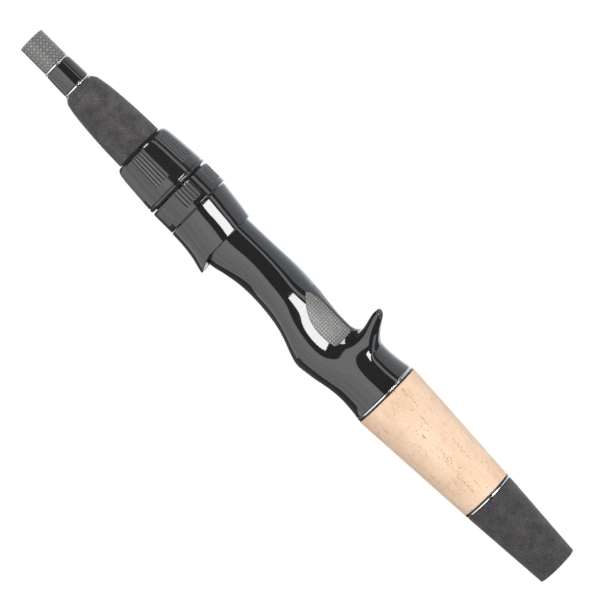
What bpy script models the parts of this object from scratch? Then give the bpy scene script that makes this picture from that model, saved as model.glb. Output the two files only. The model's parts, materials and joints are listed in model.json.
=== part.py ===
"""Casting-rod handle with a trigger reel seat, as an assembly of separate solids.

Frame: +X runs along the blank towards the tip, +Z is the side the reel sits on
(the trigger points to -Z), +Y completes the frame. The origin is the centre of
the butt's end face. Lengths below are in millimetres and scaled to metres.
"""
import bpy
import bmesh
from math import cos, sin, pi, radians
from mathutils import Vector

MM = 0.001
SEG = 32                      # facets round a turned piece

# ---- driving dimensions (mm) -------------------------------------------------
HANDLE_LENGTH = 275.5         # butt face to the open end of the blank
BLANK_R_BUTT, BLANK_R_FRONT, BLANK_BORE = 5.87, 5.35, 4.2
CHECK_SEAT_R = 4.85           # blank turned down under the winding check
SEAT_REAR, SEAT_FRONT = 91.2, 218.3
SEAT_BORE = 6.9
THREAD_R = 9.3
THREAD_START = 173.0
DECK_Z = 8.1                  # flat the reel foot rests on
FLOOR_Z = 7.75                # floor of both hood pockets and key flat
CHANNEL_HALF = 8.0            # half width of the reel-foot channel
POCKET_END, HOOD_MOUTH = 113.5, 121.5
POCKET_ROOF = 13.0
DECK_REAR, DECK_FRONT = 123.2, 158.5
HOOD_FRONT, HOOD_LIP, HOOD_LIP_TOP = 187.9, 172.4, 170.0
HOOD_RING_REAR = 183.4        # the hood's threadless ring, keyed on the flat
COUNTERBORE_REAR, COUNTERBORE_R = 185.6, 11.4
NUT_BORE = 9.6
NUT_REAR, NUT_FRONT = 188.2, 197.9
LOCK_REAR, LOCK_FRONT = 198.6, 218.5
GRIP_BORE = 6.2
CORK_FRONT, CORK_REAR, CORK_RINGS = 89.0, 37.9, 4
FOREGRIP_REAR, FOREGRIP_FRONT = 218.9, 250.5
GAP = 0.3
INLAY_THICK = 0.6

# ---- scene -------------------------------------------------------------------
for ob in list(bpy.data.objects):
    bpy.data.objects.remove(ob, do_unlink=True)

parts = bpy.data.collections.new("casting_rod_handle")
cutters = bpy.data.collections.new("casting_rod_handle_cutters")
for coll in (parts, cutters):
    bpy.context.scene.collection.children.link(coll)

# colour, roughness, metallic
FINISH = {
    "carbon_blank": ((0.16, 0.155, 0.15), 0.45, 0.0),
    "gloss_black": ((0.012, 0.012, 0.014), 0.07, 0.0),
    "satin_black": ((0.03, 0.03, 0.032), 0.35, 0.0),
    "foam": ((0.06, 0.055, 0.057), 0.9, 0.0),
    "cork": ((0.78, 0.58, 0.40), 0.85, 0.0),
    "silver": ((0.80, 0.80, 0.82), 0.2, 1.0),
    "black_ring": ((0.02, 0.02, 0.02), 0.3, 0.0),
    "carbon_inlay": ((0.20, 0.20, 0.20), 0.25, 0.0),
    "arbor": ((0.55, 0.50, 0.36), 0.7, 0.0),
    "nylon": ((0.05, 0.05, 0.05), 0.5, 0.0),
    "steel": ((0.6, 0.6, 0.6), 0.35, 1.0),
}
materials = {}
for key, (rgb, rough, metal) in FINISH.items():
    mat = bpy.data.materials.new(key)
    mat.use_nodes = True
    mat.diffuse_color = (*rgb, 1.0)
    bsdf = mat.node_tree.nodes["Principled BSDF"]
    bsdf.inputs["Base Color"].default_value = (*rgb, 1.0)
    bsdf.inputs["Roughness"].default_value = rough
    bsdf.inputs["Metallic"].default_value = metal
    materials[key] = mat


def add(name, mesh, finish=None, cutter=False):
    """Put a mesh in the scene as a part, or as a hidden cutter."""
    ob = bpy.data.objects.new(name, mesh)
    (cutters if cutter else parts).objects.link(ob)
    if cutter:
        ob.hide_render = True
        ob.display_type = 'WIRE'
    else:
        mesh.materials.append(materials[finish])
    return ob


def smooth(ob, angle=35):
    ob.data.shade_smooth()
    ob.data.set_sharp_from_angle(angle=radians(angle))


def turned(name, outer, inner, finish=None, cutter=False, seg=SEG):
    """Ring or tube turned about X. outer and inner list (x, r) from the front
    (large x) to the rear; inner may be empty for a solid bar."""
    bm = bmesh.new()
    loop = list(outer) + list(reversed(inner))
    verts = [bm.verts.new((r * MM, 0.0, x * MM)) for x, r in loop]
    for a, b in zip(verts, verts[1:]):
        bm.edges.new((a, b))
    if inner:
        bm.edges.new((verts[-1], verts[0]))
    mesh = bpy.data.meshes.new(name)
    bm.to_mesh(mesh)
    bm.free()
    ob = add(name, mesh, finish, cutter)
    ob.rotation_euler = (0.0, pi / 2, 0.0)      # the screw's Z becomes world X
    scr = ob.modifiers.new("turn", 'SCREW')
    scr.axis = 'Z'
    scr.angle = 2 * pi
    scr.steps = scr.render_steps = seg
    scr.use_merge_vertices = True
    scr.merge_threshold = 0.00001
    scr.use_smooth_shade = True
    return ob


def block(name, x0, x1, y0, y1, z0, z1, bevel=0.0):
    """Box cutter between two corners; bevel rounds its long upper edges."""
    bm = bmesh.new()
    bmesh.ops.create_cube(bm, size=1.0)
    for v in bm.verts:
        v.co = Vector(((x0 + x1) / 2 + v.co.x * (x1 - x0),
                       (y0 + y1) / 2 + v.co.y * (y1 - y0),
                       (z0 + z1) / 2 + v.co.z * (z1 - z0))) * MM
    if bevel:
        edges = [e for e in bm.edges
                 if abs(e.verts[0].co.x - e.verts[1].co.x) > 0.1 * MM
                 and e.verts[0].co.z > (z0 + z1) / 2 * MM]
        bmesh.ops.bevel(bm, geom=edges, offset=bevel * MM, segments=3,
                        profile=0.5, affect='EDGES')
    mesh = bpy.data.meshes.new(name)
    bm.to_mesh(mesh)
    bm.free()
    return add(name, mesh, cutter=True)


def cut(ob, cutter, op='DIFFERENCE'):
    mod = ob.modifiers.new(cutter.name, 'BOOLEAN')
    mod.operation = op
    mod.solver = 'EXACT'
    mod.object = cutter


# A closed loft has 16 columns. A station gives the radius at nine angles from
# -Z (0 deg) round to +Z (180 deg); the other side mirrors it.
COLS = 16
SPREAD = 3.0 / (2.0 + cos(2 * pi / COLS))       # undoes the subdivision's shrink


def ring(x, radii, offset=0.0, spread=SPREAD):
    pts = []
    for j in range(COLS):
        k = j if j <= COLS // 2 else COLS - j
        r = (radii[k] + offset) * spread
        a = 2 * pi * j / COLS
        pts.append(Vector((x, r * sin(a), -r * cos(a))) * MM)
    return pts


def loft(stations, offset=0.0, spread=SPREAD):
    """Closed quad cage through the stations, listed from the front rearwards."""
    bm = bmesh.new()
    rows = [[bm.verts.new(p) for p in ring(x, radii, offset, spread)]
            for x, radii in stations]
    for a, b in zip(rows, rows[1:]):
        for j in range(COLS):
            k = (j + 1) % COLS
            bm.faces.new((a[j], a[k], b[k], b[j]))
    bm.faces.new(list(reversed(rows[0])))
    bm.faces.new(rows[-1])
    return bm, rows


def flat(r):
    return [r] * 9


BODY = [
    (222.0, flat(9.6)), (218.0, flat(9.6)), (190.0, flat(9.6)), (180.0, flat(9.6)),
    (175.0, [9.8, 9.8, 9.85, 10.1, 10.6, 11.4, 12.2, 12.3, 12.3]),
    (170.0, [9.9, 9.9, 9.95, 10.3, 10.8, 11.45, 12.2, 12.3, 12.3]),
    (166.0, [10.0, 10.0, 10.05, 10.3, 10.6, 11.0, 11.55, 11.6, 11.6]),
    (160.0, [10.2, 10.2, 10.2, 10.25, 10.1, 9.8, 9.75, 9.9, 9.95]),
    (154.0, [10.3, 10.4, 10.5, 10.8, 10.4, 9.45, 9.2, 9.35, 9.4]),
    (148.0, [10.4, 10.5, 10.9, 11.5, 11.2, 9.7, 9.25, 9.35, 9.35]),
    (142.0, [10.4, 10.2, 11.0, 11.8, 12.1, 10.3, 9.75, 9.85, 9.85]),
    (136.5, [10.3, 9.9, 10.4, 11.2, 13.1, 11.5, 10.6, 10.6, 10.6]),
    (131.0, [10.3, 9.4, 9.6, 10.5, 13.5, 13.2, 12.1, 12.5, 12.7]),
    (126.0, [10.4, 8.8, 8.9, 9.9, 13.4, 14.9, 13.9, 14.6, 14.9]),
    (121.5, [10.5, 8.5, 8.6, 9.4, 12.9, 15.4, 15.3, 16.1, 16.4]),
    (118.5, [10.5, 8.45, 8.5, 9.1, 12.4, 15.1, 14.9, 15.9, 16.3]),
    (116.0, [10.6, 8.6, 8.6, 9.1, 12.0, 14.6, 14.6, 15.5, 15.9]),
    (113.5, [11.2, 11.4, 9.9, 9.9, 12.0, 14.1, 14.4, 15.1, 15.4]),
    (110.5, [12.0, 13.5, 10.8, 10.5, 12.1, 13.6, 14.0, 14.4, 14.6]),
    (107.5, [12.6, 13.1, 11.3, 11.0, 12.3, 13.3, 13.45, 13.65, 13.75]),
    (104.5, [12.45, 12.5, 12.5, 12.35, 12.75, 12.95, 13.1, 13.2, 13.25]),
    (101.0, [12.35, 12.35, 12.3, 12.45, 12.6, 12.7, 12.8, 12.85, 12.9]),
    (97.0, [12.65, 12.65, 12.75, 12.8, 12.85, 12.9, 13.0, 13.0, 13.0]),
    (93.5, flat(13.25)), (90.5, flat(13.85)), (88.0, flat(14.15)),
]
TRIGGER_ROWS = (113.5, 110.5, 107.5, 104.5)     # stations the trigger grows from
# depth z, front x, rear x, half width of each step of the trigger
TRIGGER = [(-15.0, 113.4, 106.5, 4.5), (-18.4, 114.3, 108.9, 3.6),
           (-21.9, 115.1, 110.4, 2.8), (-24.6, 115.2, 111.9, 2.1)]


def body_cage(offset=0.0, trigger=True):
    bm, rows = loft(BODY, offset)
    if trigger:
        xs = [x for x, _ in BODY]
        first = xs.index(TRIGGER_ROWS[0])
        n = len(TRIGGER_ROWS)
        cols = (COLS - 1, 0, 1)
        below = [[rows[first + i][j] for j in cols] for i in range(n)]
        for a, b in zip(below, below[1:]):
            for q in range(2):
                face = bm.faces.get((a[q], a[q + 1], b[q + 1], b[q]))
                bm.faces.remove(face)
        for z, xf, xr, w in TRIGGER:
            level = [[bm.verts.new(Vector((xf + (xr - xf) * i / (n - 1),
                                           w * (q - 1), z)) * MM)
                      for q in range(3)] for i in range(n)]
            rim = [(i, 0) for i in range(n)] + [(n - 1, 1)] + \
                  [(i, 2) for i in range(n - 1, -1, -1)] + [(0, 1)]
            for (i, q), (k, s) in zip(rim, rim[1:] + rim[:1]):
                bm.faces.new((below[i][q], below[k][s], level[k][s], level[i][q]))
            below = level
        for a, b in zip(below, below[1:]):
            for q in range(2):
                bm.faces.new((a[q], a[q + 1], b[q + 1], b[q]))
        loose = [v for v in bm.verts if not v.link_faces]
        bmesh.ops.delete(bm, geom=loose, context='VERTS')
    bmesh.ops.recalc_face_normals(bm, faces=bm.faces)
    return bm


def cage_object(name, bm, finish=None, cutter=False, levels=1):
    mesh = bpy.data.meshes.new(name)
    bm.to_mesh(mesh)
    bm.free()
    ob = add(name, mesh, finish, cutter)
    if levels:
        sub = ob.modifiers.new("soften", 'SUBSURF')
        sub.levels = sub.render_levels = levels
    return ob


def prism(name, outline, y0, y1):
    """Side outline of (x, z) points pushed through from y0 to y1, as a cutter."""
    bm = bmesh.new()
    face = bm.faces.new([bm.verts.new(Vector((x, y0, z)) * MM) for x, z in outline])
    push = bmesh.ops.extrude_face_region(bm, geom=[face])
    moved = [g for g in push["geom"] if isinstance(g, bmesh.types.BMVert)]
    bmesh.ops.translate(bm, verts=moved, vec=Vector((0, y1 - y0, 0)) * MM)
    bmesh.ops.recalc_face_normals(bm, faces=bm.faces)
    mesh = bpy.data.meshes.new(name)
    bm.to_mesh(mesh)
    bm.free()
    return add(name, mesh, cutter=True)


# ---- blank, plug and arbors --------------------------------------------------
def blank_r(x):
    return BLANK_R_BUTT + (BLANK_R_FRONT - BLANK_R_BUTT) * x / HANDLE_LENGTH


turned("blank_tube",
       [(HANDLE_LENGTH, BLANK_R_FRONT), (262.9, blank_r(262.9)), (262.9, CHECK_SEAT_R),
        (250.2, CHECK_SEAT_R), (250.2, blank_r(250.2)), (1.5, BLANK_R_BUTT)],
       [(HANDLE_LENGTH, BLANK_BORE), (1.5, BLANK_BORE)], "carbon_blank")
turned("butt_plug", [(13.0, 0.0), (13.0, 3.5), (12.6, 3.9), (1.2, 3.9), (1.2, 5.8),
                     (0.0, 5.8), (0.0, 0.0)], [], "nylon")
for name, x0, x1 in (("front_arbor", 193.0, 217.0), ("middle_arbor", 143.0, 167.0),
                     ("rear_arbor", 93.0, 117.0)):
    turned(name, [(x1, 6.6), (x0, 6.6)], [(x1, 6.0), (x0, 6.0)], "arbor")

# ---- seat body with its trigger, fixed hood and threaded barrel ---------------
seat = cage_object("seat_body", body_cage(), "gloss_black")
ends = block("seat_ends", SEAT_REAR, SEAT_FRONT, -40, 40, -40, 40)
step = turned("thread_step", [(230, 30), (THREAD_START, 30)],
              [(230, THREAD_R), (THREAD_START, THREAD_R)], cutter=True)
channel = block("foot_channel", HOOD_MOUTH, DECK_FRONT + 1.5, -CHANNEL_HALF,
                CHANNEL_HALF, DECK_Z, 40)
flat_front = block("key_flat", DECK_FRONT, 230, -CHANNEL_HALF, CHANNEL_HALF,
                   FLOOR_Z, 40)
pocket = block("fixed_pocket", POCKET_END, DECK_REAR, -CHANNEL_HALF, CHANNEL_HALF,
               FLOOR_Z, POCKET_ROOF, bevel=2.6)
bore = turned("seat_bore", [(240, 0.0), (240, SEAT_BORE), (80, SEAT_BORE), (80, 0.0)],
              [], cutter=True)
cut(seat, ends, 'INTERSECT')
for c in (step, channel, flat_front, pocket, bore):
    cut(seat, c)

# ---- carbon inlays in the flanks, just in front of the trigger ----------------
INLAY_X0, INLAY_X1 = 115.7, 138.3               # rear end and nose
INLAY_LOW, INLAY_HIGH = 3.5, 66.8              # span from the trigger's meridian


def inlay_outline(grow):
    """D outline as (x, angle) pairs: near-straight edge beside the trigger's
    meridian, bowed edge lower down the flank, pointed nose at the front.
    grow moves the whole edge outwards, in millimetres along the surface."""
    arc = 9.2 * pi / 180                        # mm along the flank per degree
    pts = []
    n = 7
    for i in range(n + 1):
        t = i / n
        x = INLAY_X0 + (INLAY_X1 - INLAY_X0) * t
        pts.append(Vector((x, (INLAY_LOW + 14 * t ** 7) * arc)))
    for i in range(1, n + 1):
        t = 1 - i / n
        low = INLAY_LOW + 14 * t ** 7
        high = INLAY_HIGH - 6 * (1 - t) ** 3
        bow = (1 - t ** 3.2) ** 0.75
        x = INLAY_X0 + (INLAY_X1 - INLAY_X0) * t
        pts.append(Vector((x, (low + (high - low) * bow) * arc)))
    out = []
    m = len(pts)
    for i in range(m):
        d0 = (pts[i] - pts[i - 1]).normalized()
        d1 = (pts[(i + 1) % m] - pts[i]).normalized()
        n0, n1 = Vector((d0.y, -d0.x)), Vector((d1.y, -d1.x))
        mid = (n0 + n1).normalized()
        q = pts[i] + mid * grow / max(0.35, mid.dot(n0))
        out.append((q.x, q.y / arc))
    return out


def wedge(name, side, grow, r0, r1):
    """Solid through the D outline between two radii, as a cutter."""
    bm = bmesh.new()
    loops = []
    for r in (r0, r1):
        loops.append([bm.verts.new(Vector((x, side * r * sin(radians(a)),
                                           -r * cos(radians(a)))) * MM)
                      for x, a in inlay_outline(grow)])
    lo, hi = loops
    n = len(lo)
    for i in range(n):
        k = (i + 1) % n
        bm.faces.new((lo[i], lo[k], hi[k], hi[i]))
    half = n // 2
    for loop in loops:                          # strips across the D, ends first
        for i in range(half):
            a, b, c, d = loop[i], loop[i + 1], loop[(n - i - 2) % n], loop[n - 1 - i]
            quad = [a, b, c, d]
            quad = [v for q, v in enumerate(quad) if v not in quad[:q]]
            if len(quad) > 2:
                bm.faces.new(quad)
    bmesh.ops.recalc_face_normals(bm, faces=bm.faces)
    mesh = bpy.data.meshes.new(name)
    bm.to_mesh(mesh)
    bm.free()
    return add(name, mesh, cutter=True)


under = cage_object("inlay_under", body_cage(-INLAY_THICK, trigger=False), cutter=True)
deep = cage_object("recess_under", body_cage(-INLAY_THICK - GAP, trigger=False), cutter=True)
for side, label in ((1, "left"), (-1, "right")):
    recess = wedge("recess_" + label, side, GAP, 7.2, 14.0)
    cut(recess, deep)
    cut(seat, recess)
    inlay = cage_object("carbon_inlay_" + label, body_cage(trigger=False), "carbon_inlay")
    cut(inlay, wedge("inlay_edge_" + label, side, 0.0, 7.0, 14.2), 'INTERSECT')
    cut(inlay, under)
    smooth(inlay, 30)
smooth(seat, 40)

# ---- moving hood ---------------------------------------------------------------
HOOD = [
    (194.0, [13.4, 13.4, 13.4, 13.45, 13.5, 13.55, 13.6, 13.6, 13.6]),
    (188.0, [13.1, 13.1, 13.15, 13.3, 13.45, 13.6, 13.8, 13.85, 13.9]),
    (184.0, [12.6, 12.6, 12.7, 13.0, 13.4, 13.65, 13.95, 14.05, 14.1]),
    (180.0, [12.0, 12.0, 12.15, 12.7, 13.3, 13.75, 14.2, 14.5, 14.6]),
    (176.0, [11.4, 11.4, 11.55, 12.3, 13.2, 13.9, 14.7, 15.2, 15.4]),
    (172.0, [10.75, 10.75, 10.95, 12.0, 13.1, 14.2, 15.6, 16.2, 16.3]),
    (166.0, [10.6, 10.6, 10.8, 11.9, 13.1, 14.7, 16.9, 17.2, 17.2]),
]
CAVITY = [10.35, 10.35, 10.45, 11.0, 11.6, 12.15, 12.75, 13.5, 13.9]
bm, _ = loft(HOOD)
bmesh.ops.recalc_face_normals(bm, faces=bm.faces)
hood = cage_object("moving_hood", bm, "gloss_black")
cut(hood, prism("hood_outline", [(HOOD_FRONT, -30), (HOOD_FRONT, 30),
                                 (HOOD_LIP_TOP, 30), (HOOD_LIP_TOP, 12),
                                 (HOOD_LIP, 3), (HOOD_LIP, -30)], -30, 30), 'INTERSECT')
bm, _ = loft([(HOOD_RING_REAR, CAVITY), (160.0, CAVITY)], spread=1.01)
bmesh.ops.recalc_face_normals(bm, faces=bm.faces)
cut(hood, cage_object("hood_cavity", bm, cutter=True, levels=0))
keyed = turned("hood_bore", [(200, 0.0), (200, NUT_BORE), (170, NUT_BORE), (170, 0.0)],
               [], cutter=True)
cut(keyed, block("hood_key", 160, 210, -20, 20, FLOOR_Z + GAP, 20))
cut(hood, keyed)
cut(hood, turned("hood_counterbore", [(200, 0.0), (200, COUNTERBORE_R),
                                      (COUNTERBORE_REAR, COUNTERBORE_R),
                                      (COUNTERBORE_REAR, 0.0)], [], cutter=True))
smooth(hood, 40)

# liner: a curved pad under the hood's roof, which grips the reel foot
bm = bmesh.new()
grid = [[bm.verts.new(Vector((x, 13.05 * sin(radians(a)), 13.05 * cos(radians(a)))) * MM)
         for a in (-21, -14, -7, 0, 7, 14, 21)] for x in (182.6, 178.0, 173.0)]
for a, b in zip(grid, grid[1:]):
    for q in range(6):
        bm.faces.new((a[q], a[q + 1], b[q + 1], b[q]))
mesh = bpy.data.meshes.new("moving_hood_liner")
bmesh.ops.recalc_face_normals(bm, faces=bm.faces)
bm.to_mesh(mesh)
bm.free()
liner = add("moving_hood_liner", mesh, "nylon")
sol = liner.modifiers.new("thickness", 'SOLIDIFY')
sol.thickness = 0.7 * MM
sol.offset = -1.0 if mesh.polygons[0].normal.z > 0 else 1.0
smooth(liner)

# ---- nuts -----------------------------------------------------------------------
turned("hood_nut",
       [(NUT_FRONT, 13.3), (NUT_FRONT - 0.4, 13.7), (NUT_REAR + 0.3, 13.7),
        (NUT_REAR, 13.4), (NUT_REAR, 11.1), (187.0, 11.1)],
       [(NUT_FRONT, NUT_BORE), (187.0, NUT_BORE)], "satin_black")
turned("nut_retaining_ring", [(186.7, 11.1), (185.9, 11.1)],
       [(186.7, 9.7), (185.9, 9.7)], "steel")
turned("nut_washer", [(199.3, 11.5), (198.2, 11.5)], [(199.3, NUT_BORE), (198.2, NUT_BORE)],
       "nylon")
turned("lock_nut",
       [(LOCK_FRONT, 10.6), (217.9, 11.4), (216.5, 12.1), (213.5, 12.5), (207.6, 12.96),
        (200.4, 13.5), (200.2, 13.65), (199.0, 13.65), (LOCK_REAR, 13.3),
        (LOCK_REAR, 11.8), (199.6, 11.8)],
       [(LOCK_FRONT, NUT_BORE), (199.6, NUT_BORE)], "satin_black")

# ---- foregrip and winding check ---------------------------------------------------
turned("foregrip",
       [(FOREGRIP_FRONT, 6.35), (248.9, 7.45), (246.0, 8.1), (243.0, 8.5), (237.0, 9.1),
        (231.0, 9.5), (225.0, 9.78), (FOREGRIP_REAR, 9.9)],
       [(FOREGRIP_FRONT, 5.8), (FOREGRIP_REAR, 5.8)], "foam")
turned("check_rear_ring", [(251.6, 6.05), (250.8, 6.05)], [(251.6, 5.15), (250.8, 5.15)],
       "silver")
turned("check_barrel", [(261.4, 5.66), (251.9, 5.97)], [(261.4, 5.15), (251.9, 5.15)],
       "gloss_black")
turned("check_front_ring", [(262.6, 5.6), (261.7, 5.65)], [(262.6, 5.15), (261.7, 5.15)],
       "silver")

# ---- rear grip: trim rings, four cork rings, foam butt -----------------------------
turned("seat_trim_ring", [(90.9, 13.85), (90.1, 13.95)], [(90.9, GRIP_BORE), (90.1, GRIP_BORE)],
       "silver")
turned("seat_shim_ring", [(89.8, 13.85), (89.3, 13.9)], [(89.8, GRIP_BORE), (89.3, GRIP_BORE)],
       "black_ring")
pitch = (CORK_FRONT - CORK_REAR + GAP) / CORK_RINGS


def cork_r(x):
    """The cork tapers from the seat's ring to the foam grip, slightly hollow."""
    t = (CORK_FRONT - x) / (CORK_FRONT - CORK_REAR)
    return 14.02 - 3.05 * t


for i in range(CORK_RINGS):
    x1 = CORK_FRONT - i * pitch
    x0 = x1 - pitch + GAP
    turned("cork_ring_%d" % (i + 1), [(x1, cork_r(x1)), (x0, cork_r(x0))],
           [(x1, GRIP_BORE), (x0, GRIP_BORE)], "cork")
turned("grip_shim_ring", [(37.6, 10.95), (37.1, 10.95)], [(37.6, GRIP_BORE), (37.1, GRIP_BORE)],
       "black_ring")
turned("grip_trim_ring", [(36.8, 11.0), (36.0, 11.0)], [(36.8, GRIP_BORE), (36.0, GRIP_BORE)],
       "silver")
turned("rear_grip", [(35.7, 10.9), (0.0, 8.33)], [(35.7, GRIP_BORE), (0.0, GRIP_BORE)], "foam")
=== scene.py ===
"""Looks for the casting-rod handle: detailed pieces, materials, light and camera."""
import bpy
import bmesh
import json
import numpy as np
from math import sin, cos, pi, radians, sqrt, atan2
from mathutils import Vector, Matrix, noise


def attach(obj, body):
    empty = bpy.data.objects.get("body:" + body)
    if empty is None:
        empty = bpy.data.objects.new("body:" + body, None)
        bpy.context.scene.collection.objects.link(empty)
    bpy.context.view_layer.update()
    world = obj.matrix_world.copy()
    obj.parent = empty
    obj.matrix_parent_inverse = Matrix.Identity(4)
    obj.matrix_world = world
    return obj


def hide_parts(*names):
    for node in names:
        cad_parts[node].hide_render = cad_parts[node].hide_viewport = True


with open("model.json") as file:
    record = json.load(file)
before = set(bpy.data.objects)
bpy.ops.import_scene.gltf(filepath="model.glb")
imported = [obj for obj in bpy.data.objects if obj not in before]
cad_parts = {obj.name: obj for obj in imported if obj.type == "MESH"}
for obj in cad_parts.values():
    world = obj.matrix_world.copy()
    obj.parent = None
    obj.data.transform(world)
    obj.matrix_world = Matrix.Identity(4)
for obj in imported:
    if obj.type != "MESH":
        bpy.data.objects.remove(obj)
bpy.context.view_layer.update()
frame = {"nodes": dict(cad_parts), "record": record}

MM = 0.001
scene = bpy.context.scene
rng = np.random.default_rng(7)

# =============================================================================
# Camera: the handle is rolled so that the trigger leans 35 degrees towards it
# =============================================================================
ROLL = radians(35.0)
BACK = Vector((0.0, -cos(ROLL), -sin(ROLL)))         # from the handle to the camera
ACROSS = Vector((0.0, sin(ROLL), -cos(ROLL)))        # trigger side, across the view
DIST = 1.35
aim = Vector((0.1372, 0.0, 0.0)) + ACROSS * 0.00226
eye = Vector((0.1560, 0.0, 0.0)) + BACK * DIST
back = (eye - aim).normalized()
right0 = (Vector((-1, 0, 0)) - back * Vector((-1, 0, 0)).dot(back)).normalized()
up0 = back.cross(right0)
right = (right0 + up0).normalized()                  # the handle lies on the diagonal
up = (up0 - right0).normalized()
cam_data = bpy.data.cameras.new("camera")
cam = bpy.data.objects.new("camera", cam_data)
scene.collection.objects.link(cam)
cam.matrix_world = Matrix(((right.x, up.x, back.x, eye.x),
                           (right.y, up.y, back.y, eye.y),
                           (right.z, up.z, back.z, eye.z),
                           (0, 0, 0, 1)))
cam_data.sensor_width = 36.0
cam_data.lens = 36.0 * (eye - aim).length / 0.2222
cam_data.clip_start = 0.01
cam_data.clip_end = 50.0
scene.camera = cam
scene.view_settings.view_transform = 'Standard'
scene.view_settings.look = 'None'

# =============================================================================
# Light: a studio sweep. Angles run round the handle from the camera's side,
# positive towards the trigger.
# =============================================================================
def at(angle, dist, along=0.0):
    a = radians(angle)
    return (BACK * cos(a) + ACROSS * sin(a)) * dist + Vector((0.15 + along, 0, 0))


def soft_light(name, angle, dist, wide, long, radiance, color=(1, 1, 1), along=0.0,
               shape='RECTANGLE', glossy=True):
    """Panel facing the handle; wide is across the handle and long is along it."""
    data = bpy.data.lights.new(name, 'AREA')
    data.shape = shape
    data.size = long
    data.size_y = wide
    data.color = color
    area = wide * long * (pi / 4 if shape == 'ELLIPSE' else 1.0)
    data.energy = radiance * pi * area
    ob = bpy.data.objects.new(name, data)
    scene.collection.objects.link(ob)
    pos = at(angle, dist, along)
    z = (pos - Vector((0.15, 0, 0))).normalized()
    x = (Vector((1, 0, 0)) - z * z.x).normalized()
    y = z.cross(x)
    ob.matrix_world = Matrix(((x.x, y.x, z.x, pos.x), (x.y, y.y, z.y, pos.y),
                              (x.z, y.z, z.z, pos.z), (0, 0, 0, 1)))
    ob.visible_camera = False
    ob.visible_glossy = glossy
    return ob


soft_light("key_box", 30.5, 1.30, 0.66, 0.47, 11.0, along=-0.41)
soft_light("front_box", 30.0, 1.00, 0.42, 0.50, 8.5, along=1.10)
for name, mid, radiance, along, long in (
        ("low_panel_a", -17.0, 1.56, 0.0, 1.9), ("low_panel_b", -43.0, 1.38, 0.0, 1.9),
        ("low_panel_c", -69.0, 1.18, 0.0, 1.9), ("low_panel_d", -94.5, 0.92, 0.0, 1.9),
        ("low_panel_e", -119.5, 0.72, 0.55, 1.0)):
    soft_light(name, mid, 1.30, 0.604, long, radiance, color=(1.0, 0.99, 0.98), along=along)
soft_light("high_panel", 55.5, 1.30, 0.20, 1.9, 1.45, color=(1.0, 0.93, 0.86))
soft_light("rim_panel", 106.0, 1.40, 1.96, 1.9, 0.72, color=(0.86, 0.93, 1.0))
soft_light("end_panel", 72.0, 1.05, 1.3, 1.6, 1.0, color=(0.86, 0.92, 1.0), along=-1.75)
soft_light("rim_back", 161.0, 1.40, 0.98, 1.9, 0.95, color=(0.93, 0.97, 1.0))

world = bpy.data.worlds.new("studio")
scene.world = world
world.use_nodes = True
nt = world.node_tree
nt.nodes.clear()
out = nt.nodes.new("ShaderNodeOutputWorld")
mixw = nt.nodes.new("ShaderNodeMixShader")
path = nt.nodes.new("ShaderNodeLightPath")
white = nt.nodes.new("ShaderNodeBackground")
white.inputs["Color"].default_value = (1, 1, 1, 1)
white.inputs["Strength"].default_value = 1.0
dim = nt.nodes.new("ShaderNodeBackground")
dim.inputs["Color"].default_value = (0.9, 0.95, 1.0, 1)
dim.inputs["Strength"].default_value = 0.10
nt.links.new(path.outputs["Is Camera Ray"], mixw.inputs[0])
nt.links.new(dim.outputs[0], mixw.inputs[1])
nt.links.new(white.outputs[0], mixw.inputs[2])
nt.links.new(mixw.outputs[0], out.inputs[0])

bpy.ops.mesh.primitive_plane_add(size=30.0, location=(0.14, 0, -1.6))
floor = bpy.context.active_object
floor.name = "floor"
fm = bpy.data.materials.new("floor_pale")
fm.use_nodes = True
fb = fm.node_tree.nodes["Principled BSDF"]
fb.inputs["Base Color"].default_value = (0.85, 0.85, 0.85, 1)
fb.inputs["Roughness"].default_value = 0.9
fb.inputs["Emission Color"].default_value = (1, 1, 1, 1)
fb.inputs["Emission Strength"].default_value = 0.72
floor.data.materials.append(fm)
floor.visible_glossy = False
floor.visible_diffuse = False


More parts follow.
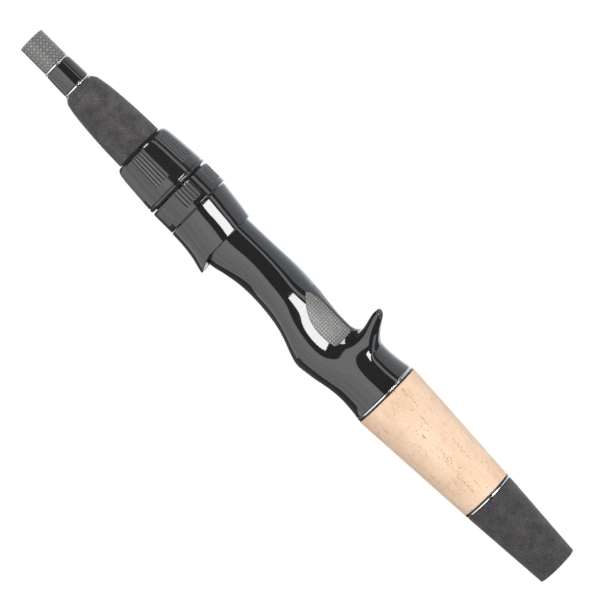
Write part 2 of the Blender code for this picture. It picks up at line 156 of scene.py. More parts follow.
# =============================================================================
# Materials
# =============================================================================
class Mat:
    """Small helper round a Principled material's node tree."""

    def __init__(self, name, color, rough, metal=0.0):
        self.m = bpy.data.materials.new(name)
        self.m.use_nodes = True
        self.t = self.m.node_tree
        self.b = self.t.nodes["Principled BSDF"]
        self.b.inputs["Base Color"].default_value = (*color, 1)
        self.b.inputs["Roughness"].default_value = rough
        self.b.inputs["Metallic"].default_value = metal
        self.m.diffuse_color = (*color, 1)
        self.tc = self.t.nodes.new("ShaderNodeTexCoord")

    def node(self, kind, **kw):
        n = self.t.nodes.new(kind)
        for k, v in kw.items():
            setattr(n, k, v)
        return n

    def link(self, a, b):
        self.t.links.new(a, b)

    def mapping(self, scale):
        mp = self.node("ShaderNodeMapping")
        mp.inputs["Scale"].default_value = scale
        self.link(self.tc.outputs["Object"], mp.inputs["Vector"])
        return mp.outputs[0]

    def noise(self, scale, detail=2.0, rough=0.5, vec=None):
        n = self.node("ShaderNodeTexNoise")
        n.inputs["Scale"].default_value = scale
        n.inputs["Detail"].default_value = detail
        n.inputs["Roughness"].default_value = rough
        self.link(vec if vec else self.tc.outputs["Object"], n.inputs["Vector"])
        return n.outputs["Fac"]

    def ramp(self, fac, stops):
        r = self.node("ShaderNodeValToRGB")
        el = r.color_ramp.elements
        while len(el) < len(stops):
            el.new(0.5)
        for e, (p, c) in zip(el, stops):
            e.position = p
            e.color = (*c, 1) if len(c) == 3 else c
        self.link(fac, r.inputs[0])
        return r.outputs["Color"]

    def math(self, op, a, b=None, c=None):
        n = self.node("ShaderNodeMath", operation=op)
        for i, v in enumerate((a, b, c)):
            if v is None:
                continue
            if isinstance(v, (int, float)):
                n.inputs[i].default_value = v
            else:
                self.link(v, n.inputs[i])
        return n.outputs[0]

    def mix(self, fac, a, b, blend='MIX'):
        n = self.node("ShaderNodeMix", data_type='RGBA', blend_type=blend)
        if isinstance(fac, (int, float)):
            n.inputs[0].default_value = fac
        else:
            self.link(fac, n.inputs[0])
        for v, sock in ((a, n.inputs[6]), (b, n.inputs[7])):
            if isinstance(v, tuple):
                sock.default_value = (*v, 1) if len(v) == 3 else v
            else:
                self.link(v, sock)
        return n.outputs[2]

    def remap(self, v, a0, a1, b0, b1):
        n = self.node("ShaderNodeMapRange")
        for i, x in enumerate((a0, a1, b0, b1)):
            n.inputs[i + 1].default_value = x
        self.link(v, n.inputs[0])
        return n.outputs[0]

    def bump(self, height, strength, distance, normal=None):
        n = self.node("ShaderNodeBump")
        n.inputs["Strength"].default_value = strength
        n.inputs["Distance"].default_value = distance
        self.link(height, n.inputs["Height"])
        if normal:
            self.link(normal, n.inputs["Normal"])
        return n.outputs[0]

    def attr(self, name):
        n = self.node("ShaderNodeAttribute", attribute_type='GEOMETRY')
        n.attribute_name = name
        return n.outputs["Fac"]

    def polar(self, radius):
        """(x, arc length round the handle) in metres, for patterns on a barrel."""
        sep = self.node("ShaderNodeSeparateXYZ")
        self.link(self.tc.outputs["Object"], sep.inputs[0])
        ang = self.math('ARCTAN2', sep.outputs["Y"], self.math('MULTIPLY', sep.outputs["Z"], -1.0))
        arc = self.math('MULTIPLY', ang, radius)
        com = self.node("ShaderNodeCombineXYZ")
        self.link(sep.outputs["X"], com.inputs[0])
        self.link(arc, com.inputs[1])
        return sep.outputs["X"], arc, com.outputs[0]


def gloss_material(name, base, rough, coat=1.0, peel=0.012, ribs=False):
    """Black lacquer; with ribs=True the grip ribs are moulded matt."""
    m = Mat(name, base, rough)
    m.b.inputs["IOR"].default_value = 1.5
    m.b.inputs["Coat Weight"].default_value = coat
    m.b.inputs["Coat Roughness"].default_value = 0.03
    m.b.inputs["Coat IOR"].default_value = 1.5
    smudge = m.noise(160.0, 4.0, 0.55)                 # handling marks, about 6 mm
    dust = m.noise(2600.0, 2.0, 0.6)                   # fine dust and hairline wear
    sheen = m.math('ADD', m.remap(smudge, 0.35, 0.7, rough * 0.7, rough * 1.7),
                   m.remap(dust, 0.62, 0.8, 0.0, 0.10))
    if ribs:
        crest = m.attr("crest")
        sheen = m.math('ADD', sheen, m.math('MULTIPLY', crest, 0.16))
        m.link(m.remap(m.attr("rib"), 0.0, 1.0, 0.9, 0.55), m.b.inputs["Coat Weight"])
    m.link(sheen, m.b.inputs["Roughness"])
    tint = m.mix(m.remap(dust, 0.55, 0.8, 0.0, 1.0), base,
                 tuple(c * 2.2 + 0.004 for c in base))
    if ribs:                                           # crests painted paler: a painted highlight along the rib tops
        tint = m.mix(m.math('MULTIPLY', crest, 0.9), tint, (0.085, 0.085, 0.088))
    m.link(tint, m.b.inputs["Base Color"])
    m.link(m.bump(m.noise(420.0, 2.0, 0.5), peel, 0.0004), m.b.inputs["Normal"])
    return m.m


MATS = {}
MATS["gloss_black"] = gloss_material("gloss_black_lacquer", (0.010, 0.010, 0.0115), 0.05)
MATS["satin_black"] = gloss_material("nut_black", (0.012, 0.012, 0.013), 0.09, coat=0.9, ribs=True)


def foam_material(name="eva_foam", dim=1.0):
    m = Mat(name, (0.060, 0.055, 0.056), 0.9)
    cells = m.node("ShaderNodeTexVoronoi", feature='F1')
    cells.inputs["Scale"].default_value = 3000.0       # cells a third of a mm across
    m.link(m.tc.outputs["Object"], cells.inputs["Vector"])
    broad = m.noise(210.0, 5.0, 0.6)                   # cloudy shade variation
    fine = m.noise(2400.0, 3.0, 0.65)
    col = m.ramp(m.math('ADD', m.math('MULTIPLY', fine, 0.58), m.math('MULTIPLY', broad, 0.42)),
                 [(p, tuple(c * dim for c in rgb)) for p, rgb in (
                     (0.36, (0.016, 0.015, 0.016)), (0.49, (0.050, 0.046, 0.048)),
                     (0.60, (0.088, 0.082, 0.085)), (0.72, (0.20, 0.19, 0.19)))])
    m.link(col, m.b.inputs["Base Color"])
    m.b.inputs["Sheen Weight"].default_value = 0.25
    m.b.inputs["Sheen Roughness"].default_value = 0.5
    h = m.math('ADD', m.math('MULTIPLY', cells.outputs["Distance"], 0.5),
               m.math('MULTIPLY', fine, 0.9))
    m.link(m.bump(h, 0.65, 0.00022), m.b.inputs["Normal"])
    m.link(m.remap(fine, 0.3, 0.7, 0.95, 0.72), m.b.inputs["Roughness"])
    return m.m


def cork_material():
    m = Mat("cork_natural", (0.80, 0.60, 0.42), 0.8)
    pit = m.attr("pit")
    tone = m.attr("tone")
    stretched = m.mapping((0.55, 1.0, 1.0))
    grain = m.noise(1500.0, 4.0, 0.6, stretched)       # cells and short streaks
    patch = m.noise(120.0, 3.0, 0.5, stretched)
    base = m.ramp(m.math('ADD', m.math('MULTIPLY', grain, 0.45), m.math('MULTIPLY', patch, 0.55)),
                  [(0.30, (0.66, 0.43, 0.285)), (0.44, (0.785, 0.555, 0.395)),
                   (0.56, (0.835, 0.612, 0.450)), (0.70, (0.88, 0.69, 0.53))])
    toned = m.mix(tone, base, (0.66, 0.43, 0.25))
    streak = m.noise(700.0, 3.0, 0.7, m.mapping((0.16, 1.0, 1.0)))
    toned = m.mix(m.remap(streak, 0.60, 0.74, 0.0, 0.42), toned, (0.54, 0.31, 0.165))
    col = m.mix(m.math('MULTIPLY', pit, 0.85), toned, (0.26, 0.13, 0.06))
    m.link(col, m.b.inputs["Base Color"])
    m.link(m.bump(grain, 0.35, 0.00018), m.b.inputs["Normal"])
    m.b.inputs["Specular IOR Level"].default_value = 0.25
    m.link(m.remap(grain, 0.3, 0.7, 0.92, 0.70), m.b.inputs["Roughness"])
    return m.m


def weave_material(name, radius, tow, dark, light, rough, coat, angle=0.0,
                   coat_rough=0.08, crossing=0.55):
    """Plain weave of two tow directions, laid round the handle."""
    m = Mat(name, dark, rough)
    x, arc, _ = m.polar(radius)
    ca, sa = cos(angle), sin(angle)
    p = m.math('ADD', m.math('MULTIPLY', x, ca / tow), m.math('MULTIPLY', arc, sa / tow))
    q = m.math('SUBTRACT', m.math('MULTIPLY', arc, ca / tow), m.math('MULTIPLY', x, sa / tow))
    fp = m.math('FLOORED_MODULO', p, 1.0)
    fq = m.math('FLOORED_MODULO', q, 1.0)
    ip = m.math('FLOOR', p)
    iq = m.math('FLOOR', q)
    par = m.math('FLOORED_MODULO', m.math('ADD', ip, iq), 2.0)      # over or under
    # each tow is a rounded ridge along its own direction, dipping at the cell's ends
    rp = m.math('SINE', m.math('MULTIPLY', fp, pi))
    rq = m.math('SINE', m.math('MULTIPLY', fq, pi))
    over = m.math('MULTIPLY', m.math('POWER', rp, 0.35), m.math('POWER', rq, 0.9))
    under = m.math('MULTIPLY', m.math('POWER', rq, 0.35), m.math('POWER', rp, 0.9))
    h = m.math('ADD', m.math('MULTIPLY', over, par),
               m.math('MULTIPLY', under, m.math('SUBTRACT', 1.0, par)))
    fib = m.noise(9000.0, 2.0, 0.6)
    # painted shade and painted reflection: the colour darkens into each tow's dips, and the two tow
    # directions get fixed light and dark tones that stand in for the fibres' sheen
    shade = m.math('ADD', m.math('MULTIPLY', par, crossing),
                   m.math('MULTIPLY', h, 1.0 - crossing))
    col = m.mix(shade, dark, light)
    col = m.mix(m.remap(fib, 0.35, 0.65, 0.0, 0.25), col, tuple(c * 0.45 for c in dark))
    m.link(col, m.b.inputs["Base Color"])
    m.link(m.bump(h, 0.35, 0.00007), m.b.inputs["Normal"])
    m.link(m.remap(h, 0.0, 1.0, rough + 0.12, rough), m.b.inputs["Roughness"])
    m.b.inputs["Coat Weight"].default_value = coat
    m.b.inputs["Coat Roughness"].default_value = coat_rough
    return m.m


def metal_material(name, color, rough, lines=5200.0):
    m = Mat(name, color, rough, 1.0)
    turn = m.noise(lines, 2.0, 0.5, m.mapping((1.0, 0.02, 0.02)))    # lathe lines
    wear = m.noise(300.0, 4.0, 0.6)
    m.link(m.math('ADD', m.remap(turn, 0.3, 0.7, rough * 0.7, rough * 1.3),
                  m.remap(wear, 0.55, 0.75, 0.0, 0.12)), m.b.inputs["Roughness"])
    m.link(m.mix(m.remap(wear, 0.5, 0.8, 0.0, 0.3), color, tuple(c * 0.7 for c in color)),
           m.b.inputs["Base Color"])
    m.link(m.bump(turn, 0.10, 0.00003), m.b.inputs["Normal"])
    return m.m


def moulded_material(name, color, rough):
    m = Mat(name, color, rough)
    grain = m.noise(3200.0, 3.0, 0.6)
    m.link(m.bump(grain, 0.25, 0.00006), m.b.inputs["Normal"])
    m.link(m.remap(grain, 0.3, 0.7, rough * 0.85, min(1.0, rough * 1.2)), m.b.inputs["Roughness"])
    m.link(m.mix(m.remap(m.noise(240.0, 3.0), 0.4, 0.7, 0.0, 1.0), color,
                 tuple(min(1.0, c * 1.35 + 0.003) for c in color)), m.b.inputs["Base Color"])
    return m.m


MATS["foam"] = foam_material()
MATS["cork"] = cork_material()
MATS["silver"] = metal_material("silver_ring", (0.86, 0.86, 0.87), 0.16)
MATS["steel"] = metal_material("spring_steel", (0.56, 0.56, 0.57), 0.30)
MATS["black_ring"] = moulded_material("black_ring_satin", (0.018, 0.018, 0.019), 0.30)
MATS["nylon"] = moulded_material("moulded_nylon", (0.035, 0.035, 0.037), 0.48)
MATS["arbor"] = moulded_material("wound_fibre", (0.52, 0.46, 0.33), 0.72)
MATS["carbon_blank"] = weave_material("carbon_blank_weave", 0.00535, 0.00122,
                                      (0.026, 0.025, 0.025), (0.285, 0.28, 0.275), 0.36, 0.7,
                                      angle=pi / 4, coat_rough=0.26, crossing=0.28)
MATS["carbon_inlay"] = weave_material("carbon_inlay_weave", 0.0092, 0.00074,
                                      (0.040, 0.040, 0.040), (0.31, 0.31, 0.30), 0.42, 0.25,
                                      angle=pi / 4, coat_rough=0.30)

BUTT_FOAM = foam_material("eva_foam_butt", 0.76)
slots = {s["node"]: s["material_slot"] for s in frame["record"]["subparts"]}


def material_of(node):
    return BUTT_FOAM if node == "rear_grip" else MATS[slots[node]]


for node, ob in frame["nodes"].items():
    ob.data.materials.clear()
    ob.data.materials.append(material_of(node))
body_of = {n: b for b, ns in frame["record"]["behaviour"]["bodies"].items() for n in ns}


# =============================================================================
# Mesh helpers. Lengths are in millimetres.
# =============================================================================
def finish_piece(ob, node, sharp=38.0):
    ob.data.materials.clear()
    ob.data.materials.append(material_of(node))
    ob.data.shade_smooth()
    ob.data.set_sharp_from_angle(angle=radians(sharp))
    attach(ob, body_of[node])
    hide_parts(node)
    return ob


def grid_mesh(name, P, wrap_rows=False, attrs=None):
    """Quads over rows x columns of points; columns always close round the handle."""
    R, C = P.shape[:2]
    idx = np.arange(R * C).reshape(R, C)
    a = idx if wrap_rows else idx[:-1]
    b = np.roll(idx, -1, axis=0) if wrap_rows else idx[1:]
    quads = np.stack([a, np.roll(a, -1, axis=1), np.roll(b, -1, axis=1), b], axis=-1).reshape(-1, 4)
    mesh = bpy.data.meshes.new(name)
    mesh.from_pydata((P.reshape(-1, 3) * MM).tolist(), [], quads.tolist())
    for key, val in (attrs or {}).items():
        at_ = mesh.attributes.new(key, 'FLOAT', 'POINT')
        at_.data.foreach_set("value", val.reshape(-1).astype(np.float32))
    mesh.validate()
    ob = bpy.data.objects.new(name, mesh)
    scene.collection.objects.link(ob)
    bm = bmesh.new()
    bm.from_mesh(mesh)
    bmesh.ops.recalc_face_normals(bm, faces=bm.faces)
    bm.to_mesh(mesh)
    bm.free()
    return ob


def rounded(profile, radii, steps=5):
    """Closed (x, r) profile with its corners rounded by the given radii."""
    out_ = []
    n = len(profile)
    for i, (x, r) in enumerate(profile):
        rad = radii[i] if isinstance(radii, (list, tuple)) else radii
        p = np.array((x, r), float)
        a = np.array(profile[i - 1], float) - p
        b = np.array(profile[(i + 1) % n], float) - p
        la, lb = np.linalg.norm(a), np.linalg.norm(b)
        a, b = a / la, b / lb
        ang = np.arccos(np.clip(a.dot(b), -1, 1))
        if rad <= 0 or ang > 3.05:
            out_.append(tuple(p))
            continue
        d = min(rad / np.tan(ang / 2), 0.45 * la, 0.45 * lb)
        rad = d * np.tan(ang / 2)
        c = p + (a + b) / np.linalg.norm(a + b) * (rad / sin(ang / 2))
        p0, p1 = p + a * d - c, p + b * d - c
        w = np.arccos(np.clip(p0.dot(p1) / (rad * rad), -1, 1))
        for k in range(steps + 1):
            t = k / steps
            out_.append(tuple(c + (sin((1 - t) * w) * p0 + sin(t * w) * p1) / sin(w)))
    return out_


def dense(profile, step):
    """Adds points so that no stretch of the closed profile is longer than step."""
    out_ = []
    n = len(profile)
    for i in range(n):
        p, q = np.array(profile[i]), np.array(profile[(i + 1) % n])
        k = max(1, int(np.ceil(np.linalg.norm(q - p) / step)))
        for j in range(k):
            out_.append(tuple(p + (q - p) * j / k))
    return out_


def turned(name, profile, seg=160):
    """Ring or tube turned about X from a closed (x, r) profile."""
    xr = np.array(profile)
    ang = np.arange(seg) * 2 * pi / seg
    P = np.empty((len(xr), seg, 3))
    P[..., 0] = xr[:, None, 0]
    P[..., 1] = xr[:, None, 1] * np.sin(ang)[None]
    P[..., 2] = -xr[:, None, 1] * np.cos(ang)[None]
    return grid_mesh(name, P, wrap_rows=True)


def solid_bar(name, profile, seg=128):
    """Solid turned about X; profile runs front to rear and is capped on the axis."""
    ob = turned(name, profile, seg)
    bm = bmesh.new()
    bm.from_mesh(ob.data)
    bmesh.ops.remove_doubles(bm, verts=bm.verts, dist=1e-6)
    bmesh.ops.recalc_face_normals(bm, faces=bm.faces)
    bm.to_mesh(ob.data)
    bm.free()
    return ob


# =============================================================================
# Seat body: the same cage as the CAD part, taken three subdivisions finer
# =============================================================================
COLS = 16
SPREAD = 3.0 / (2.0 + cos(2 * pi / COLS))
BORE, THREAD_R, FLOOR_Z, DECK_Z = 6.9, 9.3, 7.75, 8.1


def flat(r):
    return [r] * 9


BODY = [
    (222.0, flat(9.6)), (218.0, flat(9.6)), (190.0, flat(9.6)), (180.0, flat(9.6)),
    (175.0, [9.8, 9.8, 9.85, 10.1, 10.6, 11.4, 12.2, 12.3, 12.3]),
    (170.0, [9.9, 9.9, 9.95, 10.3, 10.8, 11.45, 12.2, 12.3, 12.3]),
    (166.0, [10.0, 10.0, 10.05, 10.3, 10.6, 11.0, 11.55, 11.6, 11.6]),
    (160.0, [10.2, 10.2, 10.2, 10.25, 10.1, 9.8, 9.75, 9.9, 9.95]),
    (154.0, [10.3, 10.4, 10.5, 10.8, 10.4, 9.45, 9.2, 9.35, 9.4]),
    (148.0, [10.4, 10.5, 10.9, 11.5, 11.2, 9.7, 9.25, 9.35, 9.35]),
    (142.0, [10.4, 10.2, 11.0, 11.8, 12.1, 10.3, 9.75, 9.85, 9.85]),
    (136.5, [10.3, 9.9, 10.4, 11.2, 13.1, 11.5, 10.6, 10.6, 10.6]),
    (131.0, [10.3, 9.4, 9.6, 10.5, 13.5, 13.2, 12.1, 12.5, 12.7]),
    (126.0, [10.4, 8.8, 8.9, 9.9, 13.4, 14.9, 13.9, 14.6, 14.9]),
    (121.5, [10.5, 8.5, 8.6, 9.4, 12.9, 15.4, 15.3, 16.1, 16.4]),
    (118.5, [10.5, 8.45, 8.5, 9.1, 12.4, 15.1, 14.9, 15.9, 16.3]),
    (116.0, [10.6, 8.6, 8.6, 9.1, 12.0, 14.6, 14.6, 15.5, 15.9]),
    (113.5, [11.2, 11.4, 9.9, 9.9, 12.0, 14.1, 14.4, 15.1, 15.4]),
    (110.5, [12.0, 13.5, 10.8, 10.5, 12.1, 13.6, 14.0, 14.4, 14.6]),
    (107.5, [12.6, 13.1, 11.3, 11.0, 12.3, 13.3, 13.45, 13.65, 13.75]),
    (104.5, [12.45, 12.5, 12.5, 12.35, 12.75, 12.95, 13.1, 13.2, 13.25]),
    (101.0, [12.35, 12.35, 12.3, 12.45, 12.6, 12.7, 12.8, 12.85, 12.9]),
    (97.0, [12.65, 12.65, 12.75, 12.8, 12.85, 12.9, 13.0, 13.0, 13.0]),
    (93.5, flat(13.25)), (90.5, flat(13.85)), (88.0, flat(14.15)),
]
TRIGGER_ROWS = (113.5, 110.5, 107.5, 104.5)
TRIGGER = [(-15.0, 113.4, 106.5, 4.5), (-18.4, 114.3, 108.9, 3.6),
           (-21.6, 115.0, 110.5, 2.8), (-23.5, 115.1, 111.6, 2.4),
           (-24.598, 114.7, 112.7, 1.7)]
ROUNDING = (0.62, 1.0, 0.96, 0.5)                   # trigger's width from front to rear


def ring(x, radii, offset=0.0):
    pts = []
    for j in range(COLS):
        k = j if j <= COLS // 2 else COLS - j
        r = (radii[k] + offset) * SPREAD
        a = 2 * pi * j / COLS
        pts.append(Vector((x, r * sin(a), -r * cos(a))) * MM)
    return pts


def body_cage(offset=0.0, trigger=True):
    bm = bmesh.new()
    rows = [[bm.verts.new(p) for p in ring(x, radii, offset)] for x, radii in BODY]
    for a, b in zip(rows, rows[1:]):
        for j in range(COLS):
            k = (j + 1) % COLS
            bm.faces.new((a[j], a[k], b[k], b[j]))
    bm.faces.new(list(reversed(rows[0])))
    bm.faces.new(rows[-1])
    if trigger:
        xs = [x for x, _ in BODY]
        first = xs.index(TRIGGER_ROWS[0])
        n = len(TRIGGER_ROWS)
        cols = (COLS - 1, 0, 1)
        below = [[rows[first + i][j] for j in cols] for i in range(n)]
        for a, b in zip(below, below[1:]):
            for q in range(2):
                bm.faces.remove(bm.faces.get((a[q], a[q + 1], b[q + 1], b[q])))
        for z, xf, xr, w in TRIGGER:
            level = [[bm.verts.new(Vector((xf + (xr - xf) * i / (n - 1),
                                          w * ROUNDING[i] * (q - 1), z)) * MM)
                      for q in range(3)] for i in range(n)]
            rim = [(i, 0) for i in range(n)] + [(n - 1, 1)] + \
                  [(i, 2) for i in range(n - 1, -1, -1)] + [(0, 1)]
            for (i, q), (k, s) in zip(rim, rim[1:] + rim[:1]):
                bm.faces.new((below[i][q], below[k][s], level[k][s], level[i][q]))
            below = level
        for a, b in zip(below, below[1:]):
            for q in range(2):
                bm.faces.new((a[q], a[q + 1], b[q + 1], b[q]))
        bmesh.ops.delete(bm, geom=[v for v in bm.verts if not v.link_faces], context='VERTS')
    bmesh.ops.recalc_face_normals(bm, faces=bm.faces)
    return bm


def from_bm(name, bm, levels=0):
    mesh = bpy.data.meshes.new(name)
    bm.to_mesh(mesh)
    bm.free()
    ob = bpy.data.objects.new(name, mesh)
    scene.collection.objects.link(ob)
    if levels:
        sub = ob.modifiers.new("soften", 'SUBSURF')
        sub.levels = sub.render_levels = levels
        bake(ob)
    return ob


def bake(ob):
    """Applies an object's modifiers to its mesh."""
    dg = bpy.context.evaluated_depsgraph_get()
    mesh = bpy.data.meshes.new_from_object(ob.evaluated_get(dg))
    ob.modifiers.clear()
    old = ob.data
    ob.data = mesh
    bpy.data.meshes.remove(old)


def box_cutter(x0, x1, y0, y1, z0, z1, bevel=0.0, seg=6):
    bm = bmesh.new()
    bmesh.ops.create_cube(bm, size=1.0)
    for v in bm.verts:
        v.co = Vector(((x0 + x1) / 2 + v.co.x * (x1 - x0), (y0 + y1) / 2 + v.co.y * (y1 - y0),
                       (z0 + z1) / 2 + v.co.z * (z1 - z0))) * MM
    if bevel:
        edges = [e for e in bm.edges if abs(e.verts[0].co.x - e.verts[1].co.x) > 0.1 * MM
                 and e.verts[0].co.z > (z0 + z1) / 2 * MM]
        bmesh.ops.bevel(bm, geom=edges, offset=bevel * MM, segments=seg, profile=0.5,
                        affect='EDGES')
    return from_bm("cutter", bm)


def carve(ob, cutters, op='DIFFERENCE'):
    for c in cutters:
        mod = ob.modifiers.new("cut", 'BOOLEAN')
        mod.operation = op
        mod.solver = 'EXACT'
        mod.object = c
    bake(ob)


def drop(*obs):
    for o in obs:
        me = o.data
        bpy.data.objects.remove(o, do_unlink=True)
        if me.users == 0:
            bpy.data.meshes.remove(me)


LEVEL = 3
# D-shaped inlay outline in (x, mm along the flank from the trigger's meridian)
ARC = 9.2 * pi / 180
IX0, IX1, ILOW, IHIGH = 115.7, 138.3, 3.5, 66.8


def inlay_outline(grow, n=26):
    pts = []
    for i in range(n + 1):
        t = i / n
        pts.append(np.array((IX0 + (IX1 - IX0) * t, (ILOW + 14 * t ** 7) * ARC)))
    for i in range(1, n + 1):
        t = 1 - i / n
        low = ILOW + 14 * t ** 7
        high = IHIGH - 6 * (1 - t) ** 3
        bow = (1 - t ** 3.2) ** 0.75
        pts.append(np.array((IX0 + (IX1 - IX0) * t, (low + (high - low) * bow) * ARC)))
    # round the two rear corners and the nose by walking the outline smoothly
    P = np.array(pts)
    seg = np.linalg.norm(np.roll(P, -1, axis=0) - P, axis=1)
    cum = np.concatenate([[0], np.cumsum(seg)])
    m = 90
    s = np.arange(m) * cum[-1] / m
    Q = np.stack([np.interp(s, cum, np.append(P[:, k], P[0, k])) for k in (0, 1)], axis=1)
    for _ in range(4):
        Q = (np.roll(Q, 1, axis=0) + 2 * Q + np.roll(Q, -1, axis=0)) / 4
    d = np.roll(Q, -1, axis=0) - np.roll(Q, 1, axis=0)
    d /= np.linalg.norm(d, axis=1)[:, None]
    Q = Q + np.stack([d[:, 1], -d[:, 0]], axis=1) * grow
    return [(q[0], q[1] / ARC) for q in Q]


def inlay_wedge(side, grow, r0, r1):
    bm = bmesh.new()
    loops = []
    for r in (r0, r1):
        loops.append([bm.verts.new(Vector((x, side * r * sin(radians(a)),
                                           -r * cos(radians(a)))) * MM)
                      for x, a in inlay_outline(grow)])
    lo, hi = loops
    n = len(lo)
    for i in range(n):
        k = (i + 1) % n
        bm.faces.new((lo[i], lo[k], hi[k], hi[i]))
    for loop, dr in ((lo, -0.2), (hi, 0.2)):
        mid = Vector((0, 0, 0))
        for v in loop:
            mid += v.co / n
        rad = (loop[0].co.yz.length)
        yz = mid.yz.normalized() * rad
        c = bm.verts.new((mid.x, yz.x, yz.y))
        for i in range(n):
            bm.faces.new((loop[i], loop[(i + 1) % n], c))
    bmesh.ops.recalc_face_normals(bm, faces=bm.faces)
    return from_bm("wedge", bm)


body = from_bm("seat_body_shell", body_cage(), LEVEL)
core = from_bm("under", body_cage(-0.60, trigger=False), LEVEL)
deep = from_bm("deep", body_cage(-0.75, trigger=False), LEVEL)
full = from_bm("full", body_cage(trigger=False), LEVEL)
cut_list = [box_cutter(121.5, 160.0, -8, 8, DECK_Z, 40), box_cutter(158.5, 230, -8, 8, FLOOR_Z, 40),
            box_cutter(113.5, 123.2, -8, 8, FLOOR_Z, 13.0, bevel=2.6, seg=10)]
bore = solid_bar("bore_cut", [(240, 0.0), (240, BORE), (80, BORE), (80, 0.0)], 96)
cut_list.append(bore)
ends = box_cutter(91.2, 173.0, -40, 40, -40, 40)
carve(body, [ends], 'INTERSECT')
carve(body, cut_list)
for side, label in ((1, "left"), (-1, "right")):
    rec = inlay_wedge(side, 0.13, 7.2, 14.0)
    carve(rec, [deep])
    carve(body, [rec])
    edge = inlay_wedge(side, 0.0, 7.0, 14.2)
    inlay = from_bm("carbon_inlay_%s_skin" % label, body_cage(trigger=False), LEVEL)
    carve(inlay, [edge], 'INTERSECT')
    carve(inlay, [core])
    finish_piece(inlay, "carbon_inlay_" + label, 40)
    drop(rec, edge)
drop(core, deep, full, ends, *cut_list)
finish_piece(body, "seat_body", 38)

# threaded barrel in front of the seat: 2 mm pitch, right-hand, flat on top
X = np.concatenate([np.arange(172.6, 218.05, 0.25), [218.1, 218.3]])
A = np.arange(120) * 2 * pi / 120
xx, aa = np.meshgrid(X, A, indexing='ij')
ph = xx / 2.0 - aa / (2 * pi)
rr = 8.72 + 0.58 * np.clip(0.5 + 1.25 * np.sin(2 * pi * ph), 0, 1)
rr = np.where(xx < 173.4, 8.9, rr)
rr = np.where(xx > 218.0, 8.72 - (xx - 218.0) * 0.9, rr)
outer = np.stack([xx, rr * np.sin(aa), np.minimum(-rr * np.cos(aa), FLOOR_Z)], axis=-1)
inner_x = np.array([218.3, 195.0, 172.6])
ix, ia = np.meshgrid(inner_x, A, indexing='ij')
inner = np.stack([ix, BORE * np.sin(ia), -BORE * np.cos(ia)], axis=-1)
finish_piece(grid_mesh("seat_thread", np.concatenate([outer, inner]), wrap_rows=True),
             "seat_body", 60)

# =============================================================================
# Moving hood: cubic B-spline skin over its own cage, with a rolled lip
# =============================================================================
HOOD = [
    (194.0, [13.4, 13.4, 13.4, 13.45, 13.5, 13.55, 13.6, 13.6, 13.6]),
    (188.0, [13.1, 13.1, 13.15, 13.3, 13.45, 13.6, 13.8, 13.85, 13.9]),
    (184.0, [12.6, 12.6, 12.7, 13.0, 13.4, 13.65, 13.95, 14.05, 14.1]),
    (180.0, [12.0, 12.0, 12.25, 12.5, 13.3, 13.75, 14.2, 14.5, 14.6]),
    (176.0, [11.4, 11.4, 11.7, 12.05, 13.15, 13.9, 14.7, 15.2, 15.4]),
    (172.0, [10.75, 10.8, 11.15, 11.7, 13.05, 14.2, 15.6, 16.2, 16.3]),
    (166.0, [10.6, 10.6, 10.8, 11.9, 13.1, 14.7, 16.9, 17.2, 17.2]),
]
CAVITY = [10.35, 10.35, 10.45, 11.0, 11.6, 12.15, 12.75, 13.5, 13.9]


def around(radii, ang):
    """Smooth periodic radius through the nine mirrored values."""
    full_ = np.array(radii + radii[-2:0:-1])
    k = np.arange(COLS) * 2 * pi / COLS
    c = np.fft.rfft(full_) / COLS
    out_ = np.full(ang.shape, c[0].real)
    for m in range(1, 6):
        out_ = out_ + 2 * (c[m].real * np.cos(m * ang) - c[m].imag * np.sin(m * ang))
    return out_


def hood_r(x, ang):
    xs = np.array([h[0] for h in HOOD][::-1])
    tab = np.stack([around(h[1], ang) for h in HOOD][::-1])          # rows by x, ascending
    x = np.asarray(x)
    i = np.clip(np.searchsorted(xs, x) - 1, 0, len(xs) - 2)
    t = (x - xs[i]) / (xs[i + 1] - xs[i])
    i0, i3 = np.maximum(i - 1, 0), np.minimum(i + 2, len(xs) - 1)
    cols = np.arange(len(ang))
    p0, p1, p2, p3 = tab[i0, cols], tab[i, cols], tab[i + 1, cols], tab[i3, cols]
    m1, m2 = (p2 - p0) / (xs[i + 1] - xs[i0]), (p3 - p1) / (xs[i3] - xs[i])
    h = xs[i + 1] - xs[i]
    return ((2 * t**3 - 3 * t**2 + 1) * p1 + (t**3 - 2 * t**2 + t) * h * m1
            + (-2 * t**3 + 3 * t**2) * p2 + (t**3 - t**2) * h * m2)


NA = 240
A = np.arange(NA) * 2 * pi / NA
zdir = -np.cos(A)                                    # 1 at the reel side
s_ = np.clip((zdir * 14 - 2.0) / 10.0, 0, 1)
lip = 172.4 - 2.4 * (s_ * s_ * (3 - 2 * s_))         # slants rearward on the reel side
cav = around(CAVITY, A) * 0.995
rows = []


def row(x, r):
    x = np.broadcast_to(x, (NA,))
    rows.append(np.stack([x, r * np.sin(A), -r * np.cos(A)], axis=-1))


